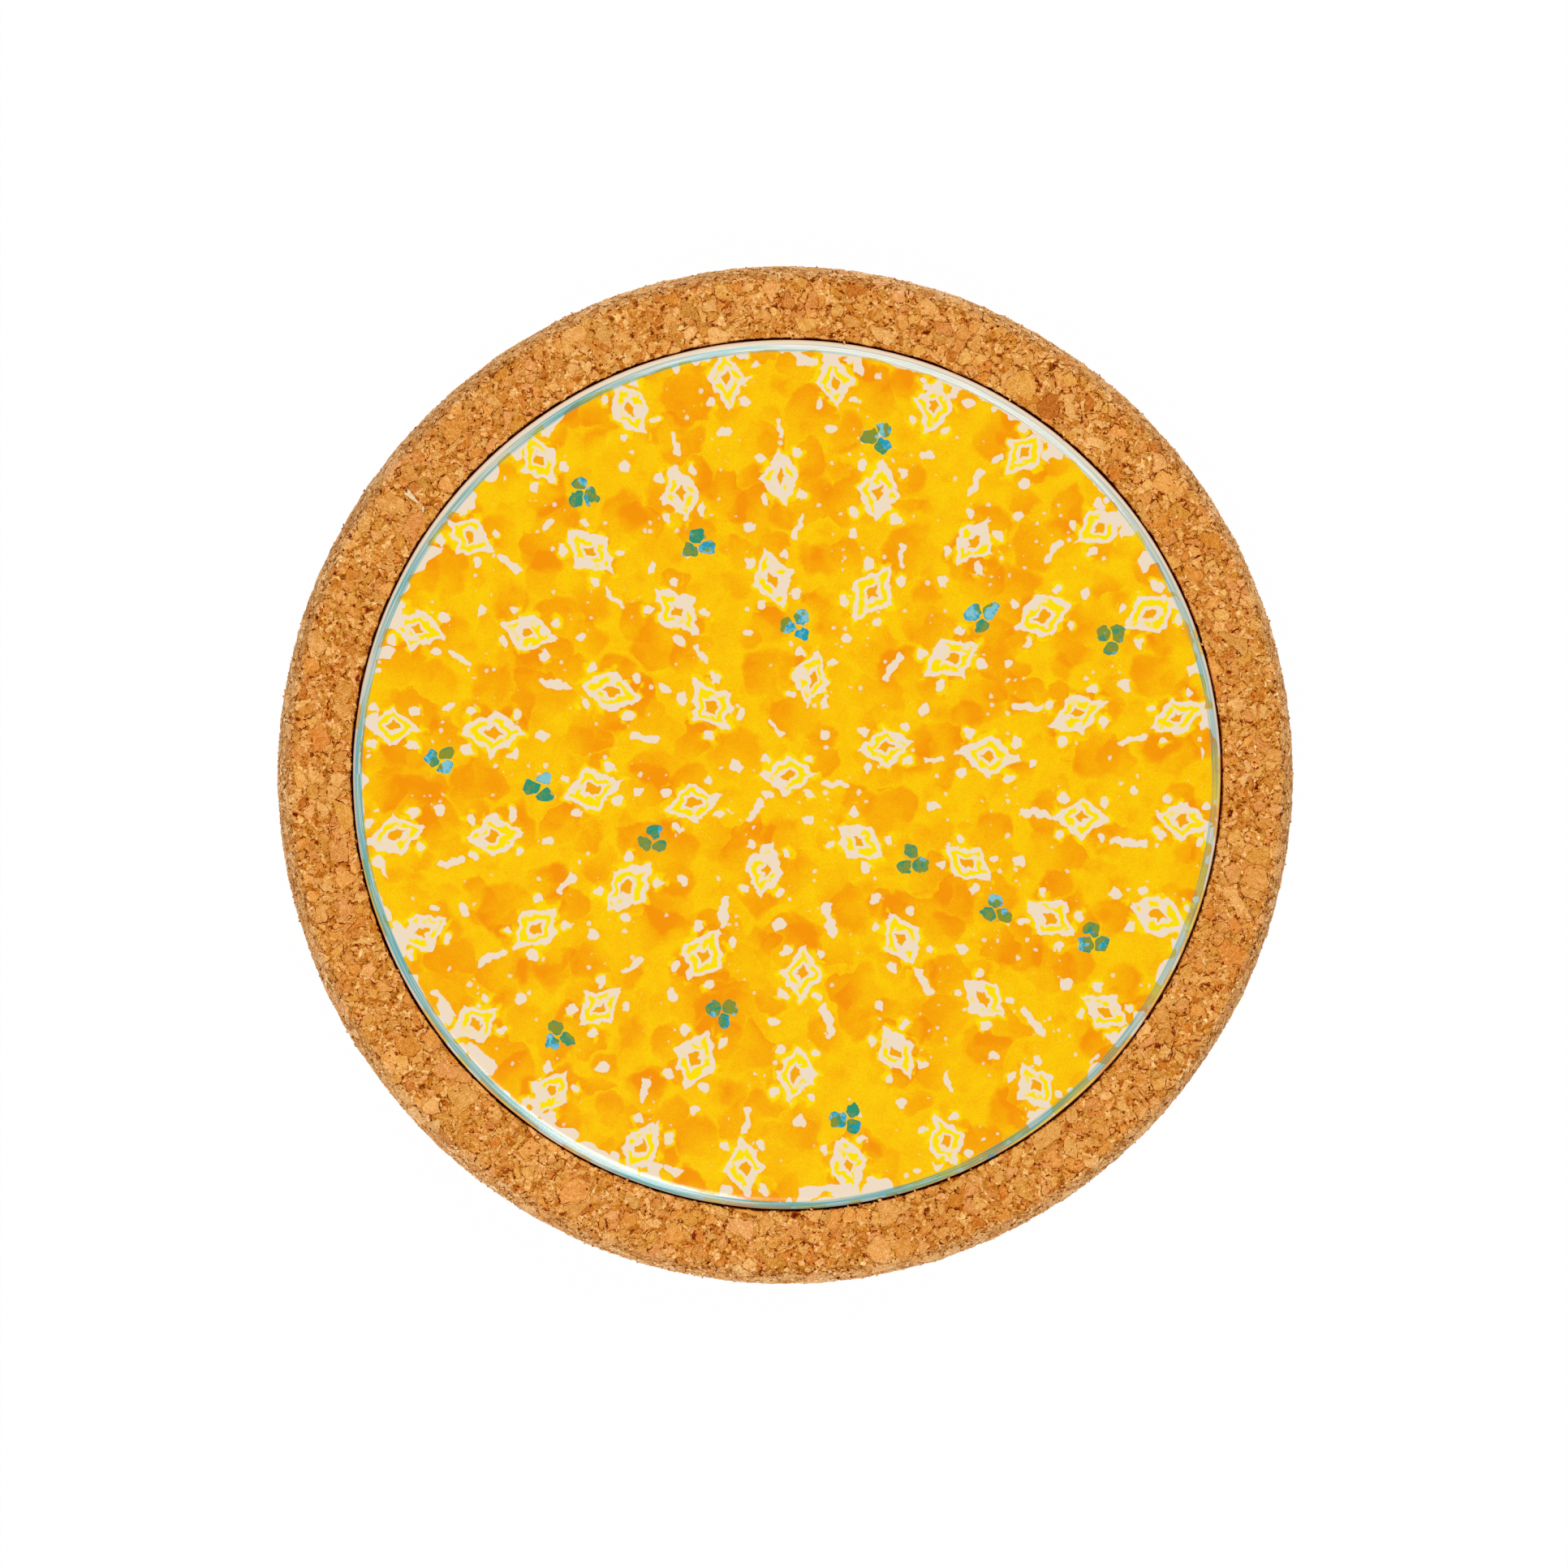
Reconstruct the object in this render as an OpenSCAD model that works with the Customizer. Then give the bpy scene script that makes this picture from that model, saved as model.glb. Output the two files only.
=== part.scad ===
// Round trivet: a glazed ceramic tile set in a turned agglomerated-cork base.
// Lengths are in millimetres. The base stands on Z = 0, centred on the Z axis.

/* [Tile] */
// Diameter of the tile at its widest
tile_d = 169.6; // [120:0.2:240]
// Thickness of the tile
tile_h = 8; // [5:0.1:14]
// Radius of the gentle roll from the tile's face down towards its edge
tile_roll_r = 5; // [3:0.5:9]
// Degrees that the roll turns through before the tighter edge takes over
tile_roll_turn = 28; // [10:1:45]
// Radius of the tile's outer edge
tile_edge_r = 0.9; // [0.5:0.1:2]
// How much the tile's side leans in from its edge to its foot
tile_draft = 0.6; // [0:0.1:1.5]
// Width of the foot ring that the tile stands on
foot_w = 6; // [3:0.5:12]
// Depth of the keyed wells in the tile's back
key_depth = 1.2; // [0.6:0.1:2.5]
// Number of round keying ribs inside the foot ring
rib_count = 3; // [2:1:6]
// Width of a keying rib at its tip
rib_w = 2.4; // [1.5:0.1:4]
// How much each wall of a well leans, across its depth
well_draft = 0.5; // [0:0.1:1]

/* [Cork base] */
// Width of the cork rim around the recess
rim_w = 14.85; // [10:0.05:26]
// Thickness of the cork under the tile
floor_h = 10.6; // [6:0.1:20]
// How far the barrel-shaped side swells past its own edges
side_bulge = 3.4; // [1:0.1:5]
// Radius that blends the side into the flat top and bottom
cork_edge_r = 1.6; // [0.6:0.1:3]
// Radius that eases the mouth of the recess
mouth_r = 0.2; // [0.1:0.1:1.5]

/* [Fit of the tile] */
// Gap between the tile's edge and the wall of its recess
tile_gap = 0.35; // [0.2:0.05:1.5]
// How far the tile's face stands above the cork
tile_proud = 0.6; // [0.2:0.1:2]

/* [Adhesive] */
// Adhesive dabs in the ring around the centre dab
dab_count = 6; // [3:1:10]
// Clear width left between a squashed dab and the foot of each rib beside it
dab_clear = 1.6; // [0.4:0.1:3]

/* [Hidden] */
$fn = 180;
// Cuts run past the surface that they open by this much
overrun = 1;

// The tile
tile_r = tile_d / 2;
// The roll starts where the flat face ends, and its arc runs on into the edge's arc
face_r = tile_r - tile_edge_r * (1 - sin(tile_roll_turn)) - tile_roll_r * sin(tile_roll_turn);
roll_end_r = face_r + tile_roll_r * sin(tile_roll_turn);
edge_z = tile_h - tile_roll_r * (1 - cos(tile_roll_turn)) - tile_edge_r * cos(tile_roll_turn);
foot_r = tile_r - tile_draft;
key_r = foot_r - foot_w;
rib_pitch = key_r / (rib_count + 1);
// The ring of dabs lies in the well just inside the outermost rib
dab_well = rib_count - 1;

// The recess and the base around it
recess_r = tile_r + tile_gap;
recess_depth = tile_h - tile_proud;
recess_corner_r = tile_gap;
cork_r = recess_r + rim_w;
cork_h = floor_h + recess_depth;
half_h = cork_h / 2;

// One arc makes the side: it passes through the widest line, and its ends lie side_bulge further in
side_r = (half_h ^ 2 + side_bulge ^ 2) / (2 * side_bulge);
side_x = cork_r - side_r;
// The blends touch that arc from inside and the flat faces from below or above
flat_r = side_x + sqrt((side_r - cork_edge_r) ^ 2 - (half_h - cork_edge_r) ^ 2);
blend_dz = (half_h - cork_edge_r) * side_r / (side_r - cork_edge_r);

function rib_x(i) = i * rib_pitch;
// Inner and outer radius of well i at its mouth, where well 0 is the round one in the middle
function well_in(i) = i == 0 ? 0 : rib_x(i) + rib_w / 2;
function well_out(i) = i == rib_count ? key_r : rib_x(i + 1) - rib_w / 2;

// A dab lies in the middle of its well, clear of the leaning walls
dab_ring_r = (well_in(dab_well) + well_out(dab_well)) / 2;
dab_r = (well_out(dab_well) - well_in(dab_well)) / 2 - well_draft - dab_clear;

// Half of the turned outline, before the recess is cut
module cork_outline() {
    square([flat_r, cork_h]);
    for (z = [cork_edge_r, cork_h - cork_edge_r])
        translate([flat_r, z]) circle(r = cork_edge_r);
    intersection() {
        translate([side_x, half_h]) circle(r = side_r);
        translate([0, half_h - blend_dz]) square([cork_r + overrun, 2 * blend_dz]);
    }
}

// Half of the space that the cutter clears, with its rounded floor corner and eased mouth
module recess_outline() {
    translate([0, floor_h]) {
        square([recess_r - recess_corner_r, recess_depth + overrun]);
        translate([0, recess_corner_r])
            square([recess_r, recess_depth - recess_corner_r + overrun]);
        translate([recess_r - recess_corner_r, recess_corner_r])
            circle(r = recess_corner_r);
    }
    difference() {
        translate([0, cork_h - mouth_r]) square([recess_r + mouth_r, mouth_r + overrun]);
        translate([recess_r + mouth_r, cork_h - mouth_r]) circle(r = mouth_r);
    }
}

module cork_base() {
    color("peru") rotate_extrude() difference() {
        cork_outline();
        recess_outline();
    }
}

// Half of a ring well, cut up from the tile's back, with leaning walls
module well_outline(i) {
    lean_in = i == 0 ? 0 : well_draft;
    polygon([
        [well_in(i), 0],
        [well_out(i), 0],
        [well_out(i) - well_draft, key_depth],
        [well_in(i) + lean_in, key_depth],
    ]);
}

// Half of the pressed disc: a drafted side, a small outer edge and a gentle roll up to the flat face
module tile_outline() {
    polygon([
        [0, 0],
        [foot_r, 0],
        [tile_r, edge_z],
        [0, edge_z],
    ]);
    translate([0, edge_z]) square([face_r, tile_h - edge_z]);
    intersection() {
        translate([face_r, tile_h - tile_roll_r]) circle(r = tile_roll_r);
        translate([face_r, edge_z]) square([roll_end_r - face_r, tile_h - edge_z]);
    }
    translate([tile_r - tile_edge_r, edge_z]) intersection() {
        circle(r = tile_edge_r);
        square(tile_edge_r);
    }
}

module ceramic_tile() {
    color("gold") translate([0, 0, floor_h]) rotate_extrude() difference() {
        tile_outline();
        for (i = [0 : rib_count]) well_outline(i);
    }
}

// One squashed dab: flat against the cork and the tile, with a round free edge
module dab() {
    edge_r = key_depth / 2;
    rotate_extrude() {
        square([dab_r - edge_r, key_depth]);
        translate([dab_r - edge_r, edge_r]) intersection() {
            circle(r = edge_r);
            translate([0, -edge_r]) square([edge_r, key_depth]);
        }
    }
}

module adhesive_dabs() {
    color("whitesmoke") translate([0, 0, floor_h]) {
        dab();
        for (k = [0 : dab_count - 1])
            rotate(k * 360 / dab_count) translate([dab_ring_r, 0]) dab();
    }
}

cork_base();
ceramic_tile();
adhesive_dabs();
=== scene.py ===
"""A round cork trivet with an inset glazed tile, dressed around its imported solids.

Lengths are in metres. Patterns are worked out in millimetres, from a point's place at rest.
"""

import math

import bpy
import numpy as np
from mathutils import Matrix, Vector


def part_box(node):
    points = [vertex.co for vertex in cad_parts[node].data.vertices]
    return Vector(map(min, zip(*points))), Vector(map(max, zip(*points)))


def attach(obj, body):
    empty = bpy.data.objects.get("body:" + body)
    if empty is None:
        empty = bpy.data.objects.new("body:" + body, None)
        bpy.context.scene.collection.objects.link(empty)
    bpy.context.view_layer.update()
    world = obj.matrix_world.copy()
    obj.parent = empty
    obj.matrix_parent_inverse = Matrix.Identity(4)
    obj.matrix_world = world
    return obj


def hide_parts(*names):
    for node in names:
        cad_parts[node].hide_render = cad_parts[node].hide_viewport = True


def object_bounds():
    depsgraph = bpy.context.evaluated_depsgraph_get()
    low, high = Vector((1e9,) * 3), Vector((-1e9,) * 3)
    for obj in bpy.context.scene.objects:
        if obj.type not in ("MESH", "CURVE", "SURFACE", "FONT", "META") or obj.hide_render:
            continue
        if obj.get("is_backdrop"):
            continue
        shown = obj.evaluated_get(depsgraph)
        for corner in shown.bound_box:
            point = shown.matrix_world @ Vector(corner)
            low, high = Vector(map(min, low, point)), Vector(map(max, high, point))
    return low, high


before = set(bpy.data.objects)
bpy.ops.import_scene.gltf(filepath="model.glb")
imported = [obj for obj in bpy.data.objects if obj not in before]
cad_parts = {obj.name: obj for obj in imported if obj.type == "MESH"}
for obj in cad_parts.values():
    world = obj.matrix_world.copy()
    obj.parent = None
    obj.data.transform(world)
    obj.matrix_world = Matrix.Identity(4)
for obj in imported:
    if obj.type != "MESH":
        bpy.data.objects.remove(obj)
cad_low, cad_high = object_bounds()

MM = 0.001
PER_MM = 1 / MM

# The photograph's frame, the centre and radius of the cork's outline and the tile's centre, in its pixels
PHOTO_PX = 1932
OUTLINE_PX = (966.7, 954.45)
OUTLINE_RADIUS_PX = 627.0
TILE_PX = (968.7, 953.85)

# The cork base, from the frame and from the sizes it is turned to
CORK_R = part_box("cork_base")[1].x
CORK_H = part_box("cork_base")[1].z
FLOOR_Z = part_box("ceramic_tile")[0].z
TILE_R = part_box("ceramic_tile")[1].x
TILE_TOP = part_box("ceramic_tile")[1].z
TILE_GAP = 0.00035
RECESS_R = TILE_R + TILE_GAP
# The side swells half a millimetre less than the solid's, so that the flat top is as wide as it looks
SIDE_BULGE = 0.0029
CORK_EDGE_R = 0.0016
MOUTH_R = 0.0002
# The recess's wall is worn back by this much, down to this depth
MOUTH_WEAR = 0.0001
MOUTH_DEPTH = 0.0028

# The tile
TILE_ROLL_R = 0.005
TILE_ROLL_TURN = math.radians(28)
TILE_EDGE_R = 0.0009
# The height of the tile's widest line
TILE_EDGE_Z = TILE_TOP - TILE_ROLL_R * (1 - math.cos(TILE_ROLL_TURN)) - TILE_EDGE_R * math.cos(TILE_ROLL_TURN)
TILE_DRAFT = 0.0006
FOOT_W = 0.006
KEY_DEPTH = 0.0012
RIB_COUNT = 3
RIB_W = 0.0024
WELL_DRAFT = 0.0005

# The cork's side and mouth and the tile's edge depart from true circles: the radius where they don't yet, the
# one where they do in full, and the waves that they follow there, as (mm, times round, degrees)
SIDE_WAVES = (0.0955, 0.0985, (0.115, 2, 82), (0.030, 3, 20), (0.060, 4, 86))
MOUTH_WAVES = (0.089, 0.0852, (0.050, 2, 68), (0.014, 4, 33), (0.020, 8, 40))
EDGE_WAVES = (
    0.0823, 0.0848,
    (0.065, 2, 68), (0.012, 3, 116), (0.014, 9, 31), (0.014, 14, 12), (0.010, 23, 5), (0.008, 37, 3),
)

# Spacing of mesh points where the cork shows close up, where it shows less, and where it is hidden
FINE = 0.0004
PLAIN = 0.001
HIDDEN = 0.0025
MOST_AROUND = 1536
# A ring's points are halved while they are this many times as many as it needs
HALVE_FROM = 1.45


# Outlines in the half plane of radius and height

def line(start, end, step, zone):
    """Points from start up to, but not including, end."""
    length = math.dist(start, end)
    count = max(1, round(length / step))
    return [
        (start[0] + (end[0] - start[0]) * k / count, start[1] + (end[1] - start[1]) * k / count, zone)
        for k in range(count)
    ]


def arc(centre, radius, start, end, step, zone):
    """Points along an arc up to, but not including, its end; angles are in radians from the outward axis."""
    count = max(3, round(abs(end - start) * radius / step))
    turns = [start + (end - start) * k / count for k in range(count)]
    return [(centre[0] + radius * math.cos(a), centre[1] + radius * math.sin(a), zone) for a in turns]


def cork_profile():
    """From the middle of the underside out, up the side, over the top and down into the recess."""
    half_h = CORK_H / 2
    side_r = (half_h ** 2 + SIDE_BULGE ** 2) / (2 * SIDE_BULGE)
    side_x = CORK_R - side_r
    rise = half_h - CORK_EDGE_R
    turn = math.asin(rise / (side_r - CORK_EDGE_R))
    flat_r = side_x + math.sqrt((side_r - CORK_EDGE_R) ** 2 - rise ** 2)
    wall = RECESS_R + MOUTH_WEAR
    mouth = wall + MOUTH_R
    corner = TILE_GAP
    quarter = math.pi / 2
    return (
        line((0, 0), (flat_r, 0), PLAIN, "under")
        + arc((flat_r, CORK_EDGE_R), CORK_EDGE_R, -quarter, -turn, FINE, "side")
        + arc((side_x, half_h), side_r, -turn, turn, FINE, "side")
        + arc((flat_r, CORK_H - CORK_EDGE_R), CORK_EDGE_R, turn, quarter, FINE, "side")
        + line((flat_r, CORK_H), (mouth, CORK_H), FINE, "top")
        + arc((mouth, CORK_H - MOUTH_R), MOUTH_R, quarter, 2 * quarter, FINE / 2, "top")
        + line((wall, CORK_H - MOUTH_R), (RECESS_R, CORK_H - MOUTH_DEPTH), FINE, "mouth")
        + line((RECESS_R, CORK_H - MOUTH_DEPTH), (RECESS_R, FLOOR_Z + corner), PLAIN, "recess")
        + arc((RECESS_R - corner, FLOOR_Z + corner), corner, 0, -quarter, FINE, "recess")
        + line((RECESS_R - corner, FLOOR_Z), (0, FLOOR_Z), HIDDEN, "recess")
        + [(0, FLOOR_Z, "recess")]
    )


def tile_profile():
    """From the middle of the ribbed back out, up the side and over the rolled edge to the face's middle."""
    foot_r = TILE_R - TILE_DRAFT
    key_r = foot_r - FOOT_W
    pitch = key_r / (RIB_COUNT + 1)
    well_top = FLOOR_Z + KEY_DEPTH
    corners = [(0, well_top)]
    for k in range(1, RIB_COUNT + 1):
        inner, outer = k * pitch - RIB_W / 2, k * pitch + RIB_W / 2
        corners += [(inner - WELL_DRAFT, well_top), (inner, FLOOR_Z)]
        corners += [(outer, FLOOR_Z), (outer + WELL_DRAFT, well_top)]
    corners += [(key_r - WELL_DRAFT, well_top), (key_r, FLOOR_Z), (foot_r, FLOOR_Z)]
    points = []
    for start, end in zip(corners, corners[1:]):
        points += line(start, end, HIDDEN, "back")
    quarter = math.pi / 2
    turn = TILE_ROLL_TURN
    face_r = TILE_R - TILE_EDGE_R * (1 - math.sin(turn)) - TILE_ROLL_R * math.sin(turn)
    roll_z = TILE_TOP - TILE_ROLL_R
    points += line((foot_r, FLOOR_Z), (TILE_R, TILE_EDGE_Z), PLAIN / 2, "glaze")
    points += arc((TILE_R - TILE_EDGE_R, TILE_EDGE_Z), TILE_EDGE_R, 0, quarter - turn, FINE / 4, "glaze")
    points += arc((face_r, roll_z), TILE_ROLL_R, quarter - turn, quarter, FINE / 2, "glaze")
    points += line((face_r, TILE_TOP), (0, TILE_TOP), PLAIN, "glaze")
    return points + [(0, TILE_TOP, "glaze")]


# Meshes

def ring_counts(profile, spacing):
    """Points in each ring: halved as the radius shrinks, and never by more than half from ring to ring."""
    counts = []
    for radius, _, zone in profile:
        wanted = 2 * math.pi * radius / spacing[zone]
        count = MOST_AROUND
        while count > 3 and count > HALVE_FROM * wanted:
            count //= 2
        counts.append(count)
    order = list(range(len(counts)))
    for indices in (order, order[::-1]):
        for a, b in zip(indices, indices[1:]):
            counts[b] = min(counts[b], counts[a] * 2)
    return counts


def turned_mesh(name, profile, spacing):
    """A surface turned about Z through a profile of (radius, height, zone), with each face's zone."""
    counts = ring_counts(profile, spacing)
    points, rings = [], []
    for (radius, height, _), count in zip(profile, counts):
        count = 1 if radius == 0 else count
        rings.append((len(points), count))
        for k in range(count):
            angle = 2 * math.pi * k / count
            points.append((radius * math.cos(angle), radius * math.sin(angle), height))
    faces, zones = [], []
    for i in range(len(rings) - 1):
        (a, n_a), (b, n_b) = rings[i], rings[i + 1]
        made = []
        if n_a == 1:
            made = [(a, b + (k + 1) % n_b, b + k) for k in range(n_b)]
        elif n_b == 1:
            made = [(a + k, a + (k + 1) % n_a, b) for k in range(n_a)]
        elif n_a == n_b:
            made = [(a + k, a + (k + 1) % n_a, b + (k + 1) % n_a, b + k) for k in range(n_a)]
        elif n_a == 2 * n_b:
            for k in range(n_b):
                left, middle, right = a + 2 * k, a + 2 * k + 1, a + (2 * k + 2) % n_a
                low, high = b + k, b + (k + 1) % n_b
                made += [(left, middle, low), (middle, high, low), (middle, right, high)]
        else:
            for k in range(n_a):
                left, right = a + k, a + (k + 1) % n_a
                low, middle, high = b + 2 * k, b + 2 * k + 1, b + (2 * k + 2) % n_b
                made += [(left, middle, low), (left, right, middle), (right, high, middle)]
        faces += made
        zones += [profile[i][2]] * len(made)
    mesh = bpy.data.meshes.new(name)
    mesh.from_pydata(points, [], faces)
    mesh.shade_smooth()
    point_zones = [profile[i][2] for i, (_, count) in enumerate(rings) for _ in range(count)]
    return mesh, zones, point_zones


def new_object(name, mesh):
    made = bpy.data.objects.new(name, mesh)
    bpy.context.scene.collection.objects.link(made)
    return made


def read(items, name, width=3, kind=float):
    """A value of each of a mesh's points or faces, with a row each where it is wider than 1."""
    values = np.empty(len(items) * width, kind)
    items.foreach_get(name, values)
    return values.reshape(-1, width) if width > 1 else values


def read_points(mesh):
    return read(mesh.vertices, "co", kind=np.float32)


def keep_rest(mesh):
    """Keeps each point's place before any relief, in millimetres, for the materials to follow."""
    places = (read_points(mesh) * PER_MM).ravel()
    mesh.attributes.new("rest_mm", "FLOAT_VECTOR", "POINT").data.foreach_set("vector", places)


def wander(mesh, start, end, *waves, inwards=False):
    """Moves points out and in, or only in, by waves round the axis, from one radius on to the other."""
    co = read_points(mesh)
    reach = np.maximum(np.hypot(co[:, 0], co[:, 1]), MM)
    angle = np.arctan2(co[:, 1], co[:, 0])
    total = sum(size * np.cos(times * (angle - math.radians(peak))) for size, times, peak in waves)
    if inwards:
        total = total - sum(size for size, _, _ in waves)
    share = np.clip((reach - start) / (end - start), 0, 1)
    co[:, :2] *= (1 + total * share * MM / reach)[:, None]
    mesh.vertices.foreach_set("co", co.ravel())


# Node trees, written as formulas

def is_wide(*values):
    """Whether any of the values is a vector or a colour."""
    return any(getattr(v, "vector", False) or hasattr(v, "__len__") for v in values)


def joined_by(operation, swapped=False):
    """A method that joins a Wire and another value by a math node, or changes a Wire alone."""

    def join(self, other=0.0):
        first, second = (other, self) if swapped else (self, other)
        return self.graph.math(operation, first, second)

    return join


class Wire:
    """A node's output, which sums, products and comparisons can be written with.

    A vector unpacks into its three parts.
    """

    def __init__(self, graph, socket, vector=False):
        self.graph, self.socket, self.vector = graph, socket, vector

    def __iter__(self):
        parts = self.graph.node("ShaderNodeSeparateXYZ", {0: self}).outputs
        return (Wire(self.graph, part) for part in parts)

    __add__ = joined_by("ADD")
    __sub__ = joined_by("SUBTRACT")
    __rsub__ = joined_by("SUBTRACT", swapped=True)
    __mul__ = joined_by("MULTIPLY")
    __truediv__ = joined_by("DIVIDE")
    __mod__ = joined_by("FLOORED_MODULO")
    __gt__ = joined_by("GREATER_THAN")
    __lt__ = joined_by("LESS_THAN")
    __abs__ = joined_by("ABSOLUTE")
    __round__ = joined_by("ROUND")
    __floor__ = joined_by("FLOOR")
    at_least = joined_by("MAXIMUM")
    at_most = joined_by("MINIMUM")


class Graph:
    """Adds nodes to a tree. Every input may be a number, a tuple or a Wire."""

    def __init__(self, tree):
        self.tree = tree

    def node(self, kind, inputs=(), **settings):
        made = self.tree.nodes.new(kind)
        for name, value in settings.items():
            setattr(made, name, value)
        self.feed(made, inputs)
        return made

    def feed(self, node, inputs):
        """Links or sets a node's inputs, which are given by name or number."""
        for key, value in dict(inputs).items():
            socket = node.inputs[key]
            if isinstance(value, Wire):
                self.tree.links.new(value.socket, socket)
            elif hasattr(socket.default_value, "__len__") and not hasattr(value, "__len__"):
                socket.default_value = [value] * len(socket.default_value)
            else:
                socket.default_value = value

    def wire(self, kind, inputs=(), output=0, vector=False, **settings):
        """An output of a new node."""
        return Wire(self, self.node(kind, inputs, **settings).outputs[output], vector)

    def math(self, operation, first, second=0.0):
        wide = is_wide(first, second)
        kind = "ShaderNodeVectorMath" if wide else "ShaderNodeMath"
        return self.wire(kind, {0: first, 1: second}, vector=wide, operation=operation)

    def length(self, vector):
        return self.wire("ShaderNodeVectorMath", {0: vector}, "Value", operation="LENGTH")

    def polar(self, flat):
        """Distance from the axis and angle round it."""
        x, y, _ = flat
        return self.length(flat), self.math("ARCTAN2", y, x)

    def join(self, x, y, z=0.0):
        return self.wire("ShaderNodeCombineXYZ", {0: x, 1: y, 2: z}, vector=True)

    def smooth(self, value, low, high):
        """0 up to low, 1 from high on, and an S curve between."""
        inputs = {0: value, 1: low, 2: high}
        return self.wire("ShaderNodeMapRange", inputs, interpolation_type="SMOOTHSTEP")

    def fall(self, value, low, high):
        """1 up to low, 0 from high on, and an S curve between."""
        return 1.0 - self.smooth(value, low, high)

    def clamp(self, value):
        """The value, held between 0 and 1."""
        return value.at_least(0.0).at_most(1.0)

    def noise(self, place, size, detail=2.0, roughness=0.5, vector=False, shift=0.0):
        """Smooth noise whose features are about size across; a vector is centred on zero.

        A shift only sets one noise apart from another.
        """
        inputs = {"Vector": place + shift, "Scale": 1 / size, "Detail": detail, "Roughness": roughness}
        if vector:
            return self.wire("ShaderNodeTexNoise", inputs, "Color", vector=True) - 0.5
        return self.wire("ShaderNodeTexNoise", inputs)

    def bend(self, place, bends):
        """A place moved about by noises of (size, detail, roughness, reach, shift)."""
        moved = place
        for size, detail, roughness, reach, shift in bends:
            moved = moved + self.noise(place, size, detail, roughness, vector=True, shift=shift) * reach
        return moved

    def patches(self, place, size, low, high, detail=1.0, shift=0.0):
        """Patches of 1 in a field of 0, about size across, where noise is above low to high."""
        return self.smooth(self.noise(place, size, detail, shift=shift), low, high)

    def cells(self, place, size):
        """Distance to the nearest cell point, three random shares of the cell, and where its point is."""
        made = self.node("ShaderNodeTexVoronoi", {"Vector": place, "Scale": 1 / size}).outputs
        shares, point = (Wire(self, made[name], vector=True) for name in ("Color", "Position"))
        return Wire(self, made["Distance"]) * size, shares, point

    def cell_edge(self, place, size):
        """Distance from a point to the border of its cell."""
        inputs = {"Vector": place, "Scale": 1 / size}
        return self.wire("ShaderNodeTexVoronoi", inputs, "Distance", feature="DISTANCE_TO_EDGE") * size

    def random(self, place):
        """Three random shares that belong to a place, which is best a whole number."""
        return self.wire("ShaderNodeTexWhiteNoise", {"Vector": place}, "Color", True, noise_dimensions="3D")

    def spin(self, place, angle, axis=(0.0, 0.0, 1.0)):
        inputs = {"Vector": place, "Axis": axis, "Angle": angle}
        return self.wire("ShaderNodeVectorRotate", inputs, vector=True, rotation_type="AXIS_ANGLE")

    def blend(self, share, first, second):
        """The first value where share is 0 and the second where it is 1."""
        wide = is_wide(first, second)
        kind, a, b, output = ("VECTOR", 4, 5, 1) if wide else ("FLOAT", 2, 3, 0)
        return self.wire("ShaderNodeMix", {0: share, a: first, b: second}, output, wide, data_type=kind)

    def gamma(self, colour, power):
        return self.wire("ShaderNodeGamma", {"Color": colour, "Gamma": power}, vector=True)

    def ramp(self, share, stops):
        """A colour ramp through (position, colour) stops."""
        made = self.node("ShaderNodeValToRGB", {0: share})
        elements = made.color_ramp.elements
        while len(elements) < len(stops):
            elements.new(1.0)
        for element, (position, colour) in zip(elements, stops):
            element.position = position
            element.color = (*colour, 1.0)
        return Wire(self, made.outputs[0], vector=True)


def new_material(name):
    """A material, its graph and the shader that Blender gives it."""
    material = bpy.data.materials.new(name)
    material.use_nodes = True
    return material, Graph(material.node_tree), material.node_tree.nodes["Principled BSDF"]


def rest_place(graph):
    """A point's place before any relief, in millimetres."""
    return graph.wire("ShaderNodeAttribute", (), "Vector", vector=True, attribute_name="rest_mm")


def kept_value(graph, name):
    """A value that the mesh keeps at each point."""
    return graph.wire("ShaderNodeAttribute", (), "Fac", attribute_name=name)


def add_bump(graph, shader, height, strength=1.0):
    """Lets the light follow a height in millimetres."""
    bump = {"Height": height, "Distance": MM, "Strength": strength}
    graph.feed(shader, {"Normal": graph.wire("ShaderNodeBump", bump)})


def shown(*colour):
    """A colour as it is seen, 0 to 255, as shares, to which the cork's levels are added."""
    return tuple(c / 255 for c in colour)


def srgb(*colour):
    """A colour as it is seen, 0 to 255, turned into the linear values that shaders take."""
    return tuple(c / 12.92 if c <= 0.04045 else ((c + 0.055) / 1.055) ** 2.4 for c in shown(*colour))


# Cork

# Grains in mm: their size, the share of the cells that hold one, how far their border is drawn in at least,
# and how much further at most
CORK_GRAINS = ((4.6, 0.38, 0.20, 0.80), (2.5, 0.66, 0.05, 0.32))
# The size of the crumbs that fill the rest, and a distance that lies past any border
CORK_CRUMB = 1.05
FAR_OFF = 9.0
# Noises that bend the grains' borders and move the specks, as (size, detail, roughness, reach, shift)
CORK_BENDS = ((4.0, 1.0, 0.5, 1.6, 0.0), (1.1, 3.0, 0.6, 1.0, 0.0))
GRIT_BENDS = ((0.5, 1.0, 0.5, 0.35, 13.0),)
# Crevices round the grains and among the crumbs: the size of the noise that opens them, the level from which
# it does, and its shift. They widen by a share of what it has above that level.
CREVICES = ((1.9, 0.55, 31.0), (1.1, 0.57, 57.0))
CREVICE_SHARE = 0.62
# The mesh's points lie further apart than a crevice is wide, so crevices are wider there by this much
MESH_WIDER = 0.25
# How far from its border a grain still dips, in the colour and in the mesh
SEAM_W = 0.16
MESH_SEAM_W = 0.3
# The random share from which on a crumb is missing
PIT_FROM = (0.950, 0.956)
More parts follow.
